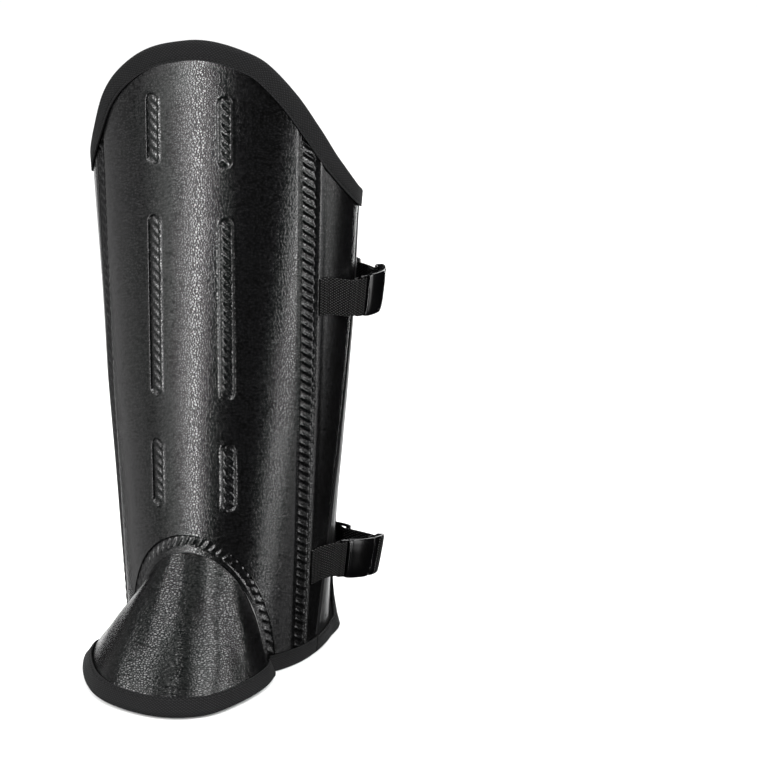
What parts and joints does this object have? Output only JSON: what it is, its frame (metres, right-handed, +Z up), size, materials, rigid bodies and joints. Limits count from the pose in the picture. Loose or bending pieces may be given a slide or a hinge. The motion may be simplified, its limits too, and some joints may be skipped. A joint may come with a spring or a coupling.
{
  "type": "tactical leg guard",
  "caption": "Tapering shin and calf guard in black leather-like sheet, with embossed slots, flared instep flap, woven edge binding and buckled webbing straps.",
  "frame": {"origin": "middle of the bounding box in plan, on the floor plane under the bottom binding", "axes": "+Z up along the leg, -Y to the front (shin and instep flap), +X to the outer side of a left leg, where the buckles are"},
  "size_m": [0.1938, 0.231, 0.4214],
  "materials": {
    "grained_leather": "grained, semi-gloss",
    "smooth_leather": "smooth, satin",
    "woven_tape": "woven, matt",
    "closure_fabric": "looped, matt",
    "webbing": "coarse woven, matt",
    "buckle_plastic": "satin to glossy"
  },
  "bodies": {
    "root": {"front_panel": "grained_leather", "inner_weld_seam": "grained_leather", "outer_weld_seam": "grained_leather", "instep_seam": "grained_leather", "outer_side_panel": "grained_leather", "closure_flap": "smooth_leather", "back_panel": "grained_leather", "closure_strip": "closure_fabric", "instep_flap": "grained_leather", "instep_flap_binding": "woven_tape", "top_binding": "woven_tape", "flap_top_binding": "woven_tape", "bottom_binding_back": "woven_tape", "bottom_binding_outer": "woven_tape", "flap_bottom_binding": "woven_tape", "flap_edge_binding": "woven_tape", "upper_front_webbing": "webbing", "upper_buckle_socket": "buckle_plastic", "upper_buckle_plug": "buckle_plastic", "upper_slider": "buckle_plastic", "upper_back_webbing": "webbing", "lower_front_webbing": "webbing", "lower_buckle_socket": "buckle_plastic", "lower_buckle_plug": "buckle_plastic", "lower_slider": "buckle_plastic", "lower_back_webbing": "webbing"}
  },
  "joints": []
}
